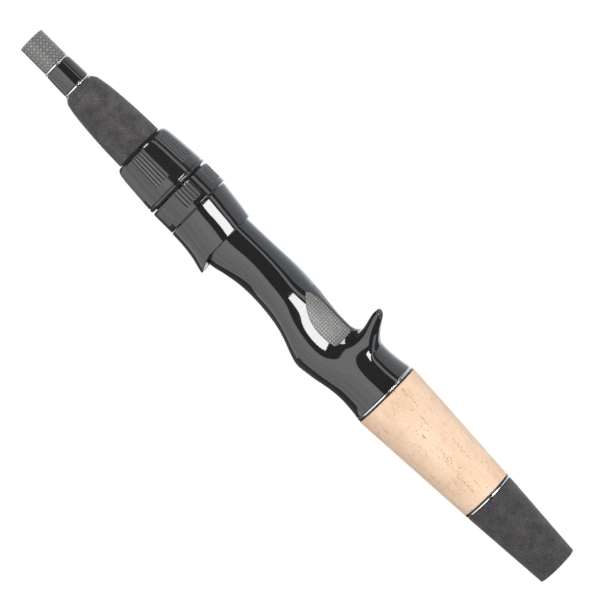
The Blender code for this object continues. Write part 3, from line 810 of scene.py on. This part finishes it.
front = 187.9
for dx, dr in ((0.0, 0.55), (0.0, 0.30), (0.09, 0.12), (0.26, 0.02), (0.45, 0.0)):
    row(front - dx, hood_r(np.full(NA, front - dx), A) - dr)
for t in np.linspace(0, 1, 44)[1:]:
    x = (front - 0.45) + (lip + 0.30 - (front - 0.45)) * t
    row(x, hood_r(x, A))
ro = hood_r(lip, A)
edge = np.minimum(0.30, 0.42 * (ro - cav))
for w in np.linspace(0, pi, 9)[1:]:
    mid = ro - edge
    row(lip + 0.30 - 0.30 * sin(w), mid + edge * cos(w) if w < pi / 2
        else mid + edge * cos(w) + (cav - (ro - 2 * edge)) * (1 - sin(w)))
for x in (179.0, 183.2):
    row(x, cav)
keyed = np.minimum(9.6, np.where(-np.cos(A) > 0.3, (FLOOR_Z + 0.3) / np.maximum(-np.cos(A), 1e-3), 9.6))
row(183.4, cav - 0.25)
row(183.4, keyed + 0.3)
row(183.6, keyed)
row(185.6, keyed)
row(185.6, np.full(NA, 11.2))
row(185.8, np.full(NA, 11.4))
row(187.6, np.full(NA, 11.4))
row(187.9, np.full(NA, 11.7))
shell = np.stack(rows)
top = shell[..., 2]                                  # ease the lip's crown
shell[..., 2] = np.where(top > 15.4, 15.4 + (top - 15.4) * 0.70, top)
finish_piece(grid_mesh("moving_hood_shell", shell, wrap_rows=True), "moving_hood", 50)

# liner under the hood's roof, with shallow grip grooves across it
NL = 40
la = radians(21.0)
prof = []
ang = np.linspace(-la, la, NL)
xs = np.linspace(182.6, 173.0, 40)
gx, ga = np.meshgrid(xs, ang, indexing='ij')
lo_r = 12.35 + 0.12 * (np.sin(gx * 2 * pi / 1.2) > 0.2)
hi_r = np.full(gx.shape, 13.05)
loop = np.concatenate([
    np.stack([gx, hi_r * np.sin(ga), hi_r * np.cos(ga)], axis=-1),
    np.stack([gx, lo_r * np.sin(ga), lo_r * np.cos(ga)], axis=-1)[:, ::-1]], axis=1)
ob = grid_mesh("hood_liner_pad", loop)
bm = bmesh.new()
bm.from_mesh(ob.data)
bmesh.ops.holes_fill(bm, edges=[e for e in bm.edges if e.is_boundary], sides=0)
bmesh.ops.recalc_face_normals(bm, faces=bm.faces)
bm.to_mesh(ob.data)
bm.free()
finish_piece(ob, "moving_hood_liner", 40)

# =============================================================================
# Nuts: six groups of ribs round each barrel
# =============================================================================
def bevelled(x, x0, x1, w):
    """1 between x0 and x1 with soft shoulders w wide, 0 outside."""
    return np.clip((x - x0) / w, 0, 1) * np.clip((x1 - x) / w, 0, 1)


def soft(t):
    t = np.clip(t, 0, 1)
    return t * t * (3 - 2 * t)


def nut(name, node, prof, centre, x0, x1, pitch_deg, count, depth, sink, inner, na=1440):
    """prof gives the outer (x, r) line; ribs are grooves pressed into the pads."""
    px = np.array([p[0] for p in prof])[::-1]
    pr = np.array([p[1] for p in prof])[::-1]
    xs = np.unique(np.round(np.concatenate([
        np.linspace(px[0], px[-1], 46),
        np.linspace(x0 - 0.5, x0 + 0.9, 9), np.linspace(x1 - 0.9, x1 + 0.5, 9), px]), 4))[::-1]
    base = np.interp(xs, px, pr)
    k = np.ones(3) / 3
    A_ = np.arange(na) * 2 * pi / na
    deg = np.degrees(A_)
    local = (deg[None] - centre + 30.0) % 60.0 - 30.0              # degrees from a pad's centre
    half = count * pitch_deg / 2.0
    along = soft(bevelled(xs, x0, x1, 0.45))[:, None]
    pad = soft((half + 1.6 - np.abs(local)) / 1.2)
    inside = np.abs(local) < half
    u = (local + half) / pitch_deg                                # rib coordinate
    crown = np.abs(2.0 * (u % 1.0) - 1.0) ** 2.6                   # rounded rib tops
    groove = np.where(inside, 1.0 - np.sqrt(np.clip(1.0 - crown, 0.0, 1.0)), 0.0)
    cutd = along * (pad * sink + groove * depth)
    r = base[:, None] - cutd
    xx_ = np.broadcast_to(xs[:, None], r.shape)
    outer_ = np.stack([xx_, r * np.sin(A_), -r * np.cos(A_)], axis=-1)
    ins = []
    for x, q in inner:
        ins.append(np.stack([np.full(na, x), q * np.sin(A_), -q * np.cos(A_)], axis=-1))
    P = np.concatenate([outer_, np.stack(ins)])
    rib = along * np.where(inside, 1.0, 0.0)
    none = np.zeros((len(inner), na))
    return finish_piece(grid_mesh(name, P, wrap_rows=True, attrs={
        "rib": np.concatenate([rib, none]),
        "crest": np.concatenate([rib * np.clip(1.0 - 2.2 * groove, 0.0, 1.0), none])}), node, 42)


nut_na = 1440
nut("hood_nut_ribbed", "hood_nut",
    [(197.9, 13.25), (197.82, 13.45), (197.65, 13.62), (197.4, 13.69), (197.1, 13.7), (188.75, 13.7),
     (188.5, 13.68), (188.32, 13.58), (188.2, 13.35)],
    308.0, 190.4, 197.4, 6.1, 5, 0.42, 0.10,
    [(188.2, 11.2), (188.2, 11.1), (187.0, 11.1), (187.0, 9.6), (197.9, 9.6), (197.9, 9.75)], nut_na)
nut("lock_nut_ribbed", "lock_nut",
    [(218.5, 10.55), (218.42, 10.9), (218.2, 11.25), (217.8, 11.6), (217.2, 11.9), (216.4, 12.13),
     (215.0, 12.33), (213.5, 12.5), (210.6, 12.74), (207.6, 12.96), (204.6, 13.19), (201.7, 13.38),
     (200.32, 13.47), (200.22, 13.22), (200.0, 13.18), (199.85, 13.28), (199.78, 13.55),
     (199.6, 13.64), (199.1, 13.64), (198.8, 13.54), (198.62, 13.3), (198.6, 13.2)],
    294.0, 203.4, 217.5, 6.15, 5, 0.40, 0.0,
    [(198.6, 11.9), (198.7, 11.8), (199.6, 11.8), (199.6, 9.6), (218.4, 9.6), (218.5, 9.75)], nut_na)

# =============================================================================
# Turned pieces
# =============================================================================
finish_piece(turned("nut_retaining_ring_turned", rounded(
    [(186.7, 11.1), (185.9, 11.1), (185.9, 9.7), (186.7, 9.7)], 0.12), 96), "nut_retaining_ring")
finish_piece(turned("nut_washer_turned", rounded(
    [(199.3, 11.5), (198.2, 11.5), (198.2, 9.6), (199.3, 9.6)], 0.12), 96), "nut_washer")
for node, x1, x0, r1, r0, ri, rad in (
        ("check_rear_ring", 251.52, 250.92, 6.05, 6.05, 5.15, 0.16),
        ("check_front_ring", 262.45, 261.85, 5.62, 5.65, 5.15, 0.14),
        ("seat_trim_ring", 90.82, 90.26, 13.9, 13.93, 6.2, 0.12),
        ("seat_shim_ring", 90.16, 89.56, 13.80, 13.85, 6.2, 0.12),
        ("grip_shim_ring", 37.44, 36.84, 10.92, 10.92, 6.2, 0.12),
        ("grip_trim_ring", 36.74, 36.20, 10.97, 10.95, 6.2, 0.12)):
    finish_piece(turned(node + "_turned", rounded([(x1, r1), (x0, r0), (x0, ri), (x1, ri)],
                                                  [rad, rad, 0.05, 0.05]), 192), node, 50)
finish_piece(turned("check_barrel_turned", dense(rounded(
    [(261.45, 5.60), (259.0, 5.74), (255.0, 5.88), (251.85, 5.92), (251.85, 5.15), (261.45, 5.15)],
    [0.15, 2.0, 2.0, 0.15, 0.05, 0.05]), 0.6), 160), "check_barrel", 50)


def blank_r(x):
    return 5.87 - 0.52 * x / 275.5


finish_piece(turned("blank_tube_wrapped", dense(rounded(
    [(275.5, 5.35), (262.9, blank_r(262.9)), (262.9, 4.85), (250.2, 4.85), (250.2, blank_r(250.2)),
     (1.5, 5.87), (1.5, 4.2), (275.5, 4.2)], [0.12, 0, 0, 0, 0, 0, 0, 0.10]), 3.0), 144),
    "blank_tube", 40)
finish_piece(solid_bar("butt_plug_turned", [(13.0, 0.0), (13.0, 3.3), (12.6, 3.8), (12.2, 3.9),
    (1.2, 3.9), (1.2, 5.6), (1.1, 5.8), (0.25, 5.8), (0.07, 5.72), (0.0, 5.55), (0.0, 1.6),
    (0.35, 1.35), (0.5, 0.9), (0.5, 0.0)], 128), "butt_plug", 40)
for node, x0, x1 in (("front_arbor", 193.0, 217.0), ("middle_arbor", 143.0, 167.0),
                     ("rear_arbor", 93.0, 117.0)):
    finish_piece(turned(node + "_wound", dense(rounded(
        [(x1, 6.6), (x0, 6.6), (x0, 6.0), (x1, 6.0)], 0.08), 2.0), 96), node)


# =============================================================================
# Foam grips: turned, with the fine unevenness of ground foam
# =============================================================================
def ground(name, node, prof, step, na, amp, cell, seed, sharp=45.0, inner=()):
    """Closed profile turned about X with the outer skin moved by noise."""
    xr = np.array(dense(prof, step))
    A_ = np.arange(na) * 2 * pi / na
    lim = min(p[1] for p in prof) + 0.4
    P = np.empty((len(xr), na, 3))
    for i, (x, r) in enumerate(xr):
        for j, a in enumerate(A_):
            d = 0.0
            if r > lim:
                v = Vector((x / cell, r * sin(a) / cell + seed, r * cos(a) / cell))
                d = amp * (noise.noise(v) + 0.5 * noise.noise(v * 2.3))
                d += amp * 0.9 * noise.noise(v * 0.13)
            rr_ = r - abs(amp) * 1.2 + d
            P[i, j] = (x, rr_ * sin(a), -rr_ * cos(a))
    return finish_piece(grid_mesh(name, P, wrap_rows=True), node, sharp)


foam_na, foam_step = ((300, 0.36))
ground("foregrip_ground", "foregrip", rounded(
    [(250.5, 5.8), (250.5, 6.35), (248.85, 7.50), (246.0, 8.15), (243.0, 8.56), (240.0, 8.88),
     (237.0, 9.14), (234.0, 9.36), (231.0, 9.54), (228.0, 9.69), (225.0, 9.80), (222.0, 9.87),
     (218.95, 9.92), (218.95, 5.8)],
    [0, 0.35, 1.2, 3, 3, 3, 3, 3, 3, 3, 3, 3, 0.35, 0]), foam_step, foam_na, 0.035, 0.55, 3.1)
ground("rear_grip_ground", "rear_grip", rounded(
    [(35.7, 6.2), (35.7, 10.92), (0.0, 8.36), (0.0, 6.2)], [0, 0.25, 0.18, 0]),
    foam_step, foam_na, 0.035, 0.55, 11.7)

# =============================================================================
# Cork rings: pits, pores and lens-shaped fissures cut into the skin
# =============================================================================
PITCH = (89.0 - 37.9 + 0.3) / 4


def cork_r(x):
    t = max(0.0, (89.0 - x) / 51.1)
    return 14.01 - 3.04 * t


cork_na, cork_rows = ((620, 84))
for ring_no in range(4):
    g = np.random.default_rng(100 + ring_no)
    x1 = 89.0 - ring_no * PITCH + 0.03
    x0 = x1 - PITCH + 0.03
    if ring_no == 0:
        x1 = 89.46
    if ring_no == 3:
        x0 = 37.54
    xs = np.linspace(x1, x0, cork_rows)
    A_ = np.arange(cork_na) * 2 * pi / cork_na
    R = np.array([cork_r(x) for x in xs])
    xx_, aa_ = np.meshgrid(xs, A_, indexing='ij')
    depth = np.zeros(xx_.shape)
    tone = np.zeros(xx_.shape)
    rm = R.mean()
    kinds = [(170, 0.14, 0.36, 0.5, 1.3, 0.10),      # pores
             (34, 0.30, 0.85, 0.30, 0.7, 0.22),      # pits
             (10, 0.8, 2.4, 0.10, 0.22, 0.18)]        # fissures along the grip
    spots = []
    for cnt, s0, s1, q0, q1, dmax in kinds:
        for _ in range(cnt):
            lx = g.uniform(s0, s1) * 0.5
            spots.append((g.uniform(x0, x1), g.uniform(0, 2 * pi), lx, lx * g.uniform(q0, q1),
                          g.uniform(-0.35, 0.35), dmax * g.uniform(0.6, 1.0)))
    for _ in range(9):                               # broken rows of lenticels
        ca_, length = g.uniform(0, 2 * pi), g.uniform(3.0, 11.0)
        cx = g.uniform(x0, x1 - 0.6 * length)
        while length > 0:
            lx = g.uniform(0.16, 0.42)
            spots.append((cx, ca_ + g.normal(0, 0.018), lx, lx * g.uniform(0.35, 0.8),
                          g.uniform(-0.2, 0.2), g.uniform(0.08, 0.17)))
            step = g.uniform(0.6, 1.5)
            cx, length = cx + step, length - step
    for cx, ca_, lx, ly, tilt, dmax in spots:
        dx = xx_ - cx
        dy = ((aa_ - ca_ + pi) % (2 * pi) - pi) * rm
        ux = dx * cos(tilt) + dy * sin(tilt)
        uy = dy * cos(tilt) - dx * sin(tilt)
        wob = 1 + 0.25 * np.sin(5 * np.arctan2(uy, ux) + cx * 9)
        d2 = np.sqrt((ux / lx) ** 2 + (uy / ly) ** 2) / wob
        m_ = np.clip(1.15 - d2, 0, 1)
        m_ = m_ * m_ * (3 - 2 * m_)
        depth = np.maximum(depth, m_ * dmax)
        tone = np.maximum(tone, np.clip(1.9 - d2, 0, 1) * 0.35)
    endw = np.clip(np.minimum(x1 - xx_, xx_ - x0) / 0.18, 0, 1)
    seam = 1 - np.sqrt(1 - (1 - endw) ** 2)           # softened ring edges
    Rg = R[:, None] - depth - 0.05 * seam
    pit = np.clip(depth / 0.14, 0, 1)
    tone = np.clip(tone + 0.12 * (endw < 0.6), 0, 1)
    outer_ = np.stack([xx_, Rg * np.sin(aa_), -Rg * np.cos(aa_)], axis=-1)
    ins = np.stack([np.stack([np.full(cork_na, x), 6.2 * np.sin(A_), -6.2 * np.cos(A_)], axis=-1)
                    for x in (x0, x1)])
    P = np.concatenate([outer_, ins])
    z2 = np.zeros((2, cork_na))
    ob = grid_mesh("cork_ring_%d_pitted" % (ring_no + 1), P, wrap_rows=True,
                   attrs={"pit": np.concatenate([pit, z2]), "tone": np.concatenate([tone, z2 + 0.2])})
    finish_piece(ob, "cork_ring_%d" % (ring_no + 1), 60)
